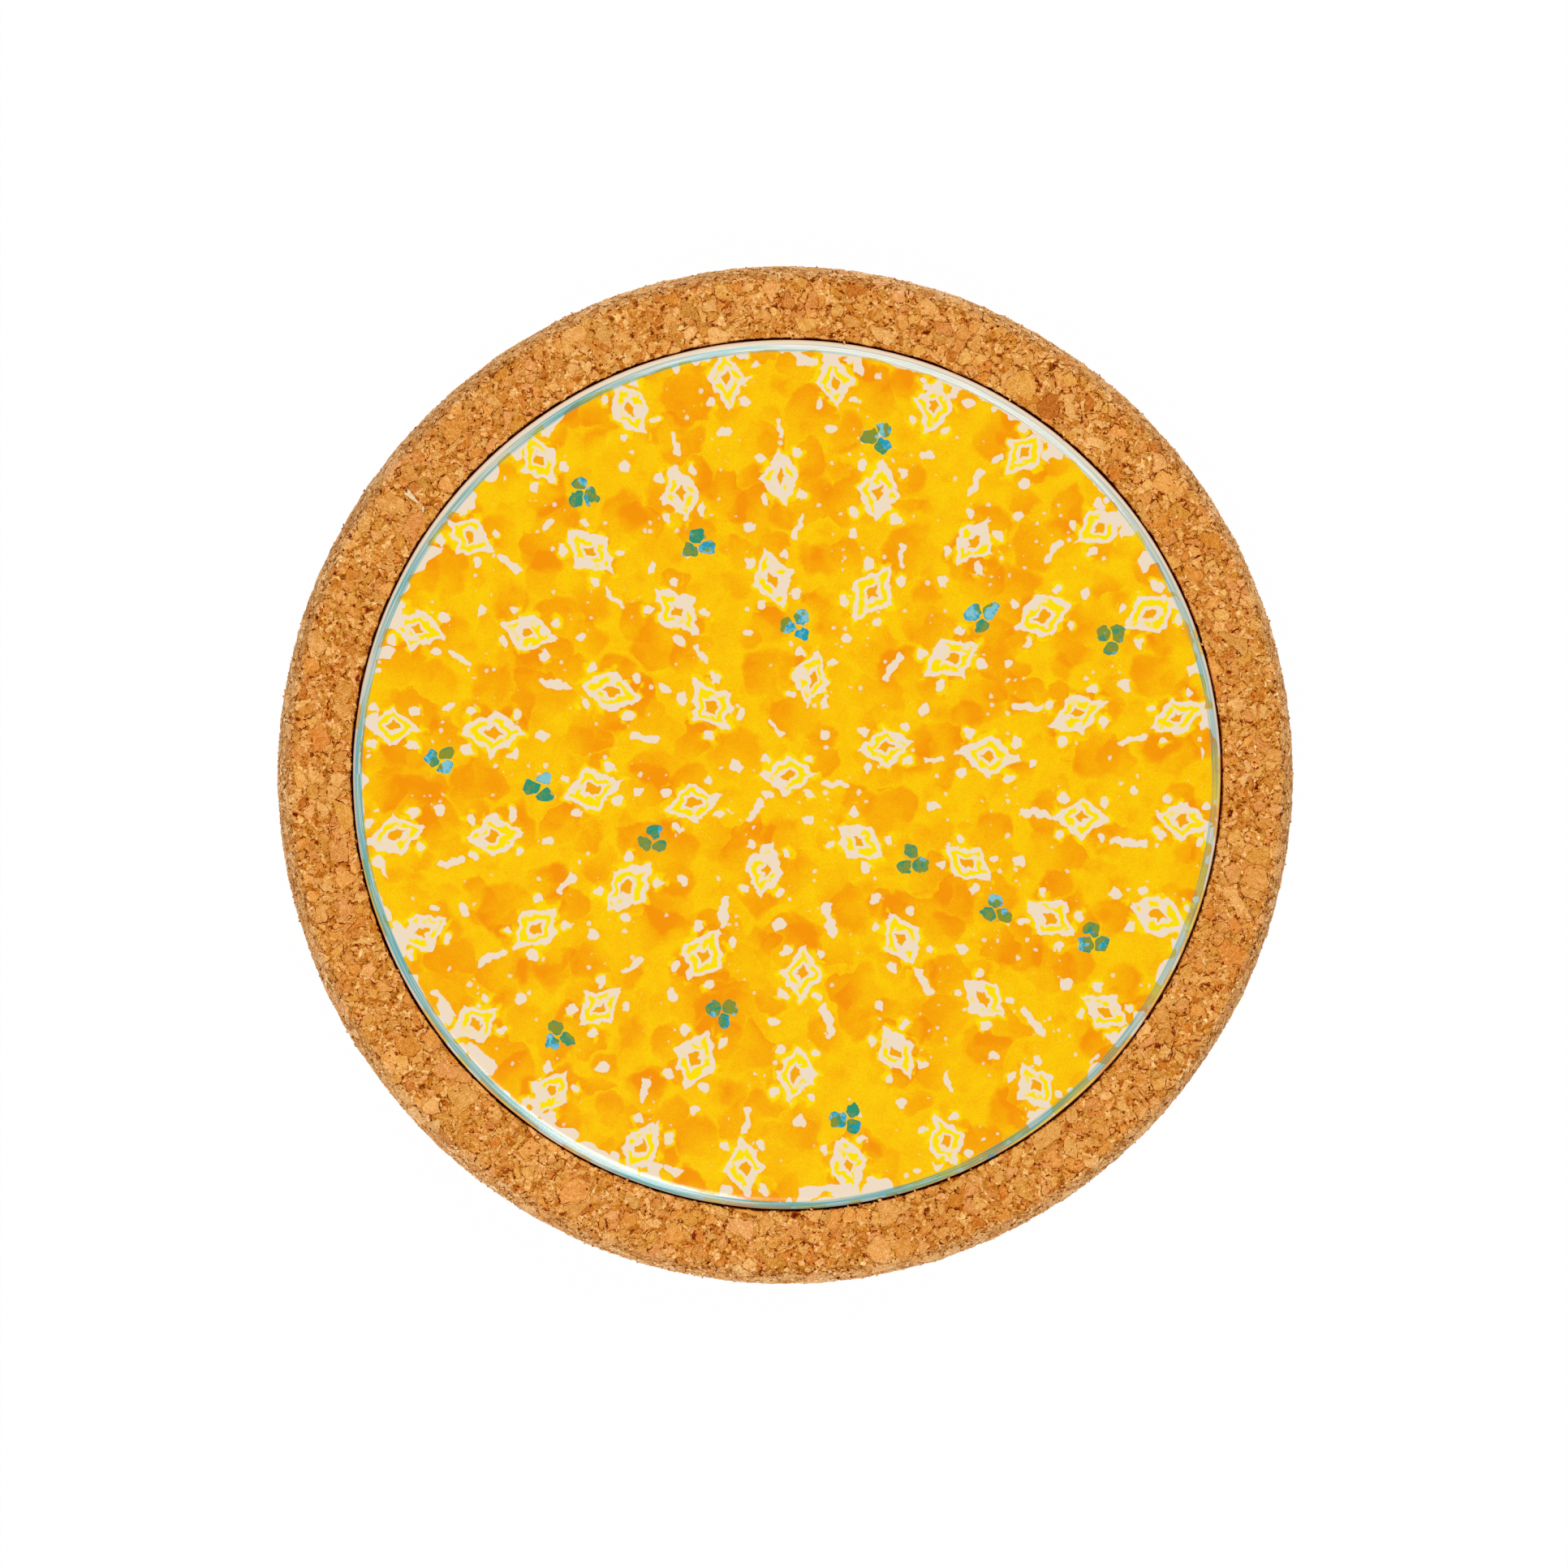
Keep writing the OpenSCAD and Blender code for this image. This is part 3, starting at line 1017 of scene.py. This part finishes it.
def glaze_material():
    material, graph, shader = new_material("glaze")
    place = rest_place(graph)
    flat = place * FLAT
    drawn = graph.bend(flat, DRAWN_BENDS) * FLAT
    radius, angle = graph.polar(drawn)
    shape, frame_line, eye = lozenges(graph, radius, angle)
    stroke, berry, berry_own = beads(graph, radius, angle)

    rough = graph.noise(flat, 0.35, 2.0, 0.7, shift=55.0) - 0.5
    printed = shape.at_most(stroke) + rough * 0.2
    halo = graph.patches(flat, 3.0, 0.50, 0.58, shift=73.0) * graph.fall(shape, HALO_W * 0.3, HALO_W)
    paint = graph.blend(halo * 0.75, ground_colour(graph, flat), LEMON)
    paint = graph.blend(graph.smooth(printed, -SOFT, SOFT), CREAM, paint)
    paint = graph.blend(pinholes(graph, flat) * 0.85, paint, CREAM)
    patchy = graph.patches(flat, 3.2, 0.38, 0.46, shift=40.0)
    paint = graph.blend(graph.fall(frame_line, -SOFT, SOFT) * patchy, paint, LEMON)
    paint = graph.blend(graph.fall(eye, -SOFT, SOFT), paint, ORANGE)
    paint = graph.blend(graph.fall(berry, -0.14, 0.06), paint, berry_paint(graph, flat, berry, berry_own))
    _, _, height = place
    paint = rim_paint(graph, flat, height, paint)
    reach, (keep, size, _), _ = graph.cells(flat + 40.0, KILN_SPECK_PITCH)
    paint = graph.blend((keep > 0.78) * (reach < size * 0.14 + 0.05) * 0.8, paint, KILN_SPECK)
    dull = graph.noise(flat, 3.0, 2.0, shift=2.0) * 0.05 + 0.14
    graph.feed(shader, {"Base Color": paint, "Roughness": dull, "IOR": GLAZE_IOR})
    ripple = graph.noise(flat, 9.0, 2.0, 0.4, shift=15.0) * 0.05
    add_bump(graph, shader, ripple + graph.noise(flat, 1.4, 1.0, shift=25.0) * 0.002)
    return material


def pinholes(graph, flat):
    """Small bare spots that the sponge's holes left, in loose clusters: 1 inside one and 0 outside."""
    near = graph.patches(flat, 8.0, 0.46, 0.62, shift=77.0)
    reach, (keep, size, _), _ = graph.cells(graph.bend(flat, PINHOLE_BENDS) * FLAT, PINHOLE_PITCH)
    rim = size * size * 0.42
    return (keep < near * 0.60 + 0.04) * graph.fall(reach, rim + 0.04, rim + 0.20)


def ground_colour(graph, flat):
    """The sponged ground: yellow under rounds of orange dabs, each pressed harder towards one edge."""
    moved = graph.bend(flat, GROUND_BENDS) * FLAT
    amount = 0.0
    for size, least, spread, soft, weight, shift in GROUND_DABS:
        reach, (strength, wide, turn), point = graph.cells(moved + shift, size)
        rim = wide * spread + least
        off_x, off_y, _ = moved + shift - point
        turn = turn * (2 * math.pi)
        lean = (off_x * graph.math("COSINE", turn) + off_y * graph.math("SINE", turn)) / rim
        pressed = graph.smooth(lean, -0.8, 0.9) * 0.75 + 0.25
        inside = graph.fall(reach, rim - soft, rim + soft)
        amount = inside * pressed * graph.smooth(strength, 0.0, 0.40) * weight + amount
    stipple = graph.noise(flat, 0.36, 2.0, 0.8, shift=6.0) - 0.5
    dust = graph.noise(flat, 0.17, 1.0, 0.5, shift=46.0)
    cloud = graph.noise(flat, 3.4, 2.0, shift=18.0) - 0.5
    amount = amount + cloud * 0.44 + stipple * 0.66 + (dust - 0.5) * 0.5
    amount = amount + graph.smooth(dust, 0.66, 0.74) * 0.3
    return graph.ramp(graph.clamp(amount + GROUND_BASE), GROUND_TONES)


def ring_waves(graph, angle, waves):
    """A sum of waves round the ring, each given as its size, how often it goes round and where it peaks."""
    total = 0.0
    for size, times, peak in waves:
        total = graph.math("COSINE", angle * times - math.radians(peak) * times) * size + total
    return total


def rim_paint(graph, flat, height, paint):
    """A thin blue band that a brush drew near the edge, over the pattern's end and the bare glaze."""
    radius, angle = graph.polar(flat)
    turned = graph.join(graph.math("COSINE", angle), graph.math("SINE", angle))

    ragged = graph.noise(flat, 0.34, 2.0, 0.7, shift=27.0) - 0.5
    ground_end = ring_waves(graph, angle, GROUND_WAVES) + ragged * 0.7 + GROUND_END
    ground_end = ground_end + (graph.noise(flat, 4.0, 1.0, shift=21.0) - 0.5) * GROUND_WANDER
    ground_end = ground_end - graph.patches(flat, 4.4, 0.52, 0.62, shift=52.0) * GROUND_BAY
    bare = graph.smooth(radius - ground_end, -0.08, 0.08)
    bare = bare.at_least(graph.smooth(radius, BARE_FROM, BARE_FROM + 0.4))
    patches = graph.noise(turned, 0.11, 1.0, shift=14.0) + ring_waves(graph, angle, PATCH_WAVES)
    patches = graph.smooth(patches, 0.56, 0.60)
    patches = patches * graph.smooth(radius + ragged * 0.5, BARE_FROM - 0.1, BARE_FROM)
    base = graph.blend(bare * (1.0 - patches * 0.8), paint, CREAM)

    sway = (graph.noise(turned, 0.50, 1.0, shift=4.0) - 0.5) * 0.3
    off = radius - (ring_waves(graph, angle, BAND_WAVES) + sway + BAND_R)
    bristles = graph.noise(graph.join(off * 4.2, angle * 5.0), 1.0, 2.0, 0.6, shift=2.0)
    load = graph.noise(turned, 0.22, 2.0, shift=19.0) * 0.52
    load = load + graph.smooth(bristles, 0.38, 0.64) * BRISTLE_SHARE
    load = load * (ring_waves(graph, angle, LOAD_WAVES) + 1.0)
    strength = graph.clamp(load) * graph.fall(abs(off / BAND_HALF), 0.78, 1.10)
    washed = base * graph.blend(strength, (1.0, 1.0, 1.0), BAND_TINT)
    painted = graph.blend(strength * 0.45, washed, BAND_BLUE)
    # The glaze runs thin where the edge turns down, and the clay's warmth comes through
    thin = graph.smooth(TILE_TOP * PER_MM - height, *THIN_DEPTH)
    return graph.blend(thin * 0.9, painted, THIN_GLAZE)


def biscuit_material():
    """Unglazed fired clay, for the tile's back."""
    material, graph, shader = new_material("biscuit")
    place = rest_place(graph)
    grit = graph.noise(place, 0.8, 3.0, 0.65) - 0.5
    cloud = graph.noise(place, 14.0, 2.0, shift=5.0) - 0.5
    colour = (grit * 0.22 + cloud * 0.18 + 1.0) * BISCUIT
    graph.feed(shader, {"Base Color": colour, "Roughness": 0.8})
    add_bump(graph, shader, grit * 0.08)
    return material


def make_tile():
    spacing = {"back": HIDDEN, "glaze": PLAIN}
    mesh, zones, _ = turned_mesh("glazed_tile", tile_profile(), spacing)
    keep_rest(mesh)
    mesh.materials.append(glaze_material())
    mesh.materials.append(biscuit_material())
    mesh.polygons.foreach_set("material_index", [int(z == "back") for z in zones])
    wander(mesh, *EDGE_WAVES)
    return new_object("glazed_tile", mesh)


# Adhesive

SILICONE_TONES = ((0.3, srgb(222, 218, 206)), (0.7, srgb(236, 233, 224)))
BUBBLE_PITCH = 0.9


def adhesive_material():
    """Cured silicone: pale, slightly see-through, with small bubbles."""
    material, graph, shader = new_material("adhesive")
    place = Wire(graph, graph.node("ShaderNodeTexCoord").outputs["Object"], vector=True) * PER_MM
    reach, _, _ = graph.cells(place, BUBBLE_PITCH)
    bubble = graph.fall(reach, 0.08, 0.16)
    colour = graph.ramp(graph.noise(place, 3.0, 2.0), SILICONE_TONES) * (1.0 - bubble * 0.15)
    seen_through = {"Subsurface Weight": 0.2, "Subsurface Scale": MM}
    graph.feed(shader, {"Base Color": colour, "Roughness": 0.35, **seen_through})
    add_bump(graph, shader, bubble * -0.05)
    return material


def dress_adhesive():
    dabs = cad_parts["adhesive_dabs"]
    dabs.data.materials.clear()
    dabs.data.materials.append(adhesive_material())


# The studio: floor, light and camera

# Light passes the floor to what lies closer to it than this, so that the underside shows from below
UNDER_REACH = 0.001
# Half the floor's width, and how far it lies below the cork, so that their faces never meet
FLOOR_SIZE = 4.0
FLOOR_DROP = 0.0001
FLOOR_PALE = (0.86, 0.86, 0.86, 1.0)
# How much of the floor's seen colour is plain white, which leaves the rest to its light and shadow
FLOOR_WHITE = 0.985
# The world's grey by how far up a direction points
SKY_LEVELS = ((0.0, 0.95), (0.30, 0.80), (0.55, 0.39), (0.80, 0.20), (0.97, 0.03))
# The lamps: azimuth from +X and tilt from straight up, in degrees, then width and height
SOFTBOXES = {"softbox_far": (72, 37, 1.05, 0.55), "softbox_near": (247, 36, 0.46, 0.80)}
SOFTBOX_DISTANCE = 1.4
SOFTBOX_POWER = 9.2
LENS_MM = 135
SENSOR_MM = 36
# The camera shows from its distance over this up to its distance times this
CLIP_SPREAD = 20


def make_floor():
    """A pale floor that shows white from above and lets the view from below through."""
    mesh = bpy.data.meshes.new("floor")
    corners = [(x * FLOOR_SIZE, y * FLOOR_SIZE, 0) for x, y in ((-1, -1), (1, -1), (1, 1), (-1, 1))]
    mesh.from_pydata(corners, [], [(0, 1, 2, 3)])
    floor = new_object("floor", mesh)
    floor.location.z = -FLOOR_DROP
    material = bpy.data.materials.new("floor")
    material.use_nodes = True
    material.node_tree.nodes.clear()
    graph = Graph(material.node_tree)
    path = graph.node("ShaderNodeLightPath").outputs
    rays = ("Is Camera Ray", "Is Glossy Ray", "Is Transmission Ray", "Ray Length")
    direct, mirrored, bent, length = (Wire(graph, path[name]) for name in rays)
    seen = graph.clamp(direct + mirrored + bent)
    behind = graph.wire("ShaderNodeNewGeometry", (), "Backfacing")
    pale = graph.wire("ShaderNodeBsdfDiffuse", {"Color": FLOOR_PALE})
    white = graph.wire("ShaderNodeEmission", {"Strength": 1.0})
    lit = graph.wire("ShaderNodeMixShader", {0: seen * FLOOR_WHITE, 1: pale, 2: white})
    passed = behind.at_least(length < UNDER_REACH)
    clear = graph.wire("ShaderNodeBsdfTransparent")
    sided = graph.wire("ShaderNodeMixShader", {0: passed, 1: lit, 2: clear})
    graph.node("ShaderNodeOutputMaterial", {"Surface": sided})
    material.cycles.emission_sampling = "NONE"
    mesh.materials.append(material)
    floor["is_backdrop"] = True


def make_world():
    """Soft light from all round, white at the horizon and dim straight overhead."""
    world = bpy.data.worlds.new("studio")
    bpy.context.scene.world = world
    world.use_nodes = True
    graph = Graph(world.node_tree)
    _, _, up = graph.wire("ShaderNodeTexCoord", (), "Generated", vector=True)
    level = graph.ramp(up, [(height, (grey,) * 3) for height, grey in SKY_LEVELS])
    graph.feed(world.node_tree.nodes["Background"], {"Color": level})


def add_softbox(name, azimuth, tilt, width, height):
    """A large lamp that faces the trivet."""
    data = bpy.data.lights.new(name, "AREA")
    data.shape = "RECTANGLE"
    data.size, data.size_y = width, height
    data.energy = SOFTBOX_POWER
    lamp = new_object(name, data)
    azimuth, tilt = math.radians(azimuth), math.radians(tilt)
    flat = math.sin(tilt)
    back = Vector((flat * math.cos(azimuth), flat * math.sin(azimuth), math.cos(tilt)))
    lamp.location = back * SOFTBOX_DISTANCE
    lamp.rotation_euler = (-back).to_track_quat("-Z", "Y").to_euler()
    lamp.visible_camera = False


def make_camera():
    """Above the trivet and a little to one side, where its widest line fills the photograph's circle."""
    data = bpy.data.cameras.new("camera")
    data.lens, data.sensor_width = LENS_MM, SENSOR_MM
    camera = new_object("camera", data)
    px_per_m = OUTLINE_RADIUS_PX / CORK_R
    distance = PHOTO_PX * LENS_MM / SENSOR_MM / px_per_m
    # The tile's face stands above the widest line, so a leaning view shifts one against the other
    rise = TILE_TOP - CORK_H / 2
    lean_x = (TILE_PX[0] - OUTLINE_PX[0]) / px_per_m / rise
    lean_y = (OUTLINE_PX[1] - TILE_PX[1]) / px_per_m / rise
    # A leaning view draws a circle's far half smaller, which shifts the middle of its picture
    keystone = CORK_R ** 2 / distance
    middle = (PHOTO_PX - 1) / 2
    aim_x = (middle - OUTLINE_PX[0]) / px_per_m - keystone * lean_x
    aim_y = (OUTLINE_PX[1] - middle) / px_per_m - keystone * lean_y
    camera.location = (aim_x - lean_x * distance, aim_y - lean_y * distance, CORK_H / 2 + distance)
    camera.rotation_euler = (math.atan(lean_y), -math.atan(lean_x), 0)
    data.clip_start, data.clip_end = distance / CLIP_SPREAD, distance * CLIP_SPREAD
    bpy.context.scene.camera = camera


make_camera()
make_world()
make_floor()
for name, settings in SOFTBOXES.items():
    add_softbox(name, *settings)
bpy.context.scene.view_settings.view_transform = "Standard"

cork, crumbs = make_cork()
for piece in (cork, crumbs):
    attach(piece, "root")
    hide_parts("cork_base")

tile = make_tile()
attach(tile, "root")
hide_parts("ceramic_tile")

dress_adhesive()

seen_low, seen_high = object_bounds()
boxes = {"cad": [list(cad_low), list(cad_high)], "visual": [list(seen_low), list(seen_high)]}
